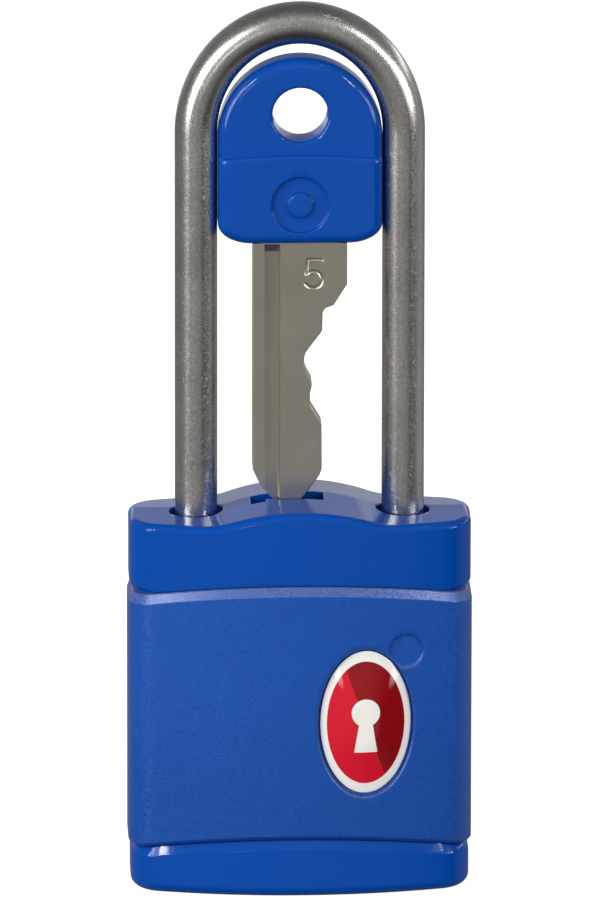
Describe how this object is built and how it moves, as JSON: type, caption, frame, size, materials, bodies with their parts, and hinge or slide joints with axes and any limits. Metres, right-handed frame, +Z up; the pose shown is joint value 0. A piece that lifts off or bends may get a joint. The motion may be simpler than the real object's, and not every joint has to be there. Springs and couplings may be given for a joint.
{
  "type": "keyed luggage padlock",
  "caption": "Small keyed padlock: long round shackle, bowed sleeve between two caps, and a key standing in its top keyway.",
  "frame": {"origin": "centre of the base, on the surface the padlock stands on", "axes": "+Z up along the shackle legs, +X across towards the toe leg, -Y out of the badge side"},
  "size_m": [0.03, 0.0131, 0.0794],
  "materials": {
    "blue_gloss": "glossy moulded plastic",
    "pearl_blue": "satin pearl lacquer with a fine sparkle",
    "shackle_steel": "fine brushed and lightly pitted",
    "key_nickel": "nickel-plated, satin",
    "plated_steel": "zinc-plated",
    "zinc_casting": "as cast",
    "brass": "machined",
    "badge_enamel": "clear domed gloss"
  },
  "bodies": {
    "case": {"body_sleeve": "pearl_blue", "top_cap": "blue_gloss", "bottom_cap": "blue_gloss", "badge": "badge_enamel", "lock_core": "zinc_casting", "base_plate": "plated_steel", "base_screw_left": "plated_steel", "base_screw_right": "plated_steel", "heel_retaining_pin": "plated_steel", "plug_retaining_pin": "plated_steel", "heel_spring": "plated_steel"},
    "shackle": {"shackle": "shackle_steel"},
    "plug": {"lock_plug": "brass", "plug_face": "blue_gloss"},
    "ball": {"locking_ball": "plated_steel"},
    "wafer_1": {"wafer_1": "brass"},
    "wafer_2": {"wafer_2": "brass"},
    "wafer_3": {"wafer_3": "brass"},
    "wafer_4": {"wafer_4": "brass"},
    "wafer_5": {"wafer_5": "brass"},
    "key": {"key_blade": "key_nickel", "key_head": "blue_gloss"}
  },
  "joints": [
    {"name": "shackle_lift", "type": "slide", "parent": "case", "child": "shackle", "axis": [0, 0, 1], "range_m": [0, 0.00897], "deforming": ["heel_spring"]},
    {"name": "plug_turn", "type": "hinge", "parent": "case", "child": "plug", "pos_m": [0, 0, 0.0235], "axis": [0, 0, 1], "range_deg": [0, 90]},
    {"name": "ball_throw", "type": "slide", "parent": "case", "child": "ball", "axis": [1, 0, 0], "range_m": [0, 0.00095]},
    {"name": "key_insert", "type": "slide", "parent": "plug", "child": "key", "axis": [0, 0, -1], "range_m": [0, 0.01695]},
    {"name": "wafer_1_slide", "type": "slide", "parent": "plug", "child": "wafer_1", "axis": [1, 0, 0], "range_m": [-0.0005, 0], "stiffness_N_per_m": 60},
    {"name": "wafer_2_slide", "type": "slide", "parent": "plug", "child": "wafer_2", "axis": [1, 0, 0], "range_m": [-0.0005, 0], "stiffness_N_per_m": 60},
    {"name": "wafer_3_slide", "type": "slide", "parent": "plug", "child": "wafer_3", "axis": [1, 0, 0], "range_m": [-0.0005, 0], "stiffness_N_per_m": 60},
    {"name": "wafer_4_slide", "type": "slide", "parent": "plug", "child": "wafer_4", "axis": [1, 0, 0], "range_m": [-0.0005, 0], "stiffness_N_per_m": 60},
    {"name": "wafer_5_slide", "type": "slide", "parent": "plug", "child": "wafer_5", "axis": [1, 0, 0], "range_m": [-0.0005, 0], "stiffness_N_per_m": 60}
  ],
  "couplings": [
    {"joint": "ball_throw", "follows": "plug_turn", "m_per_rad": 0.0006045}
  ]
}
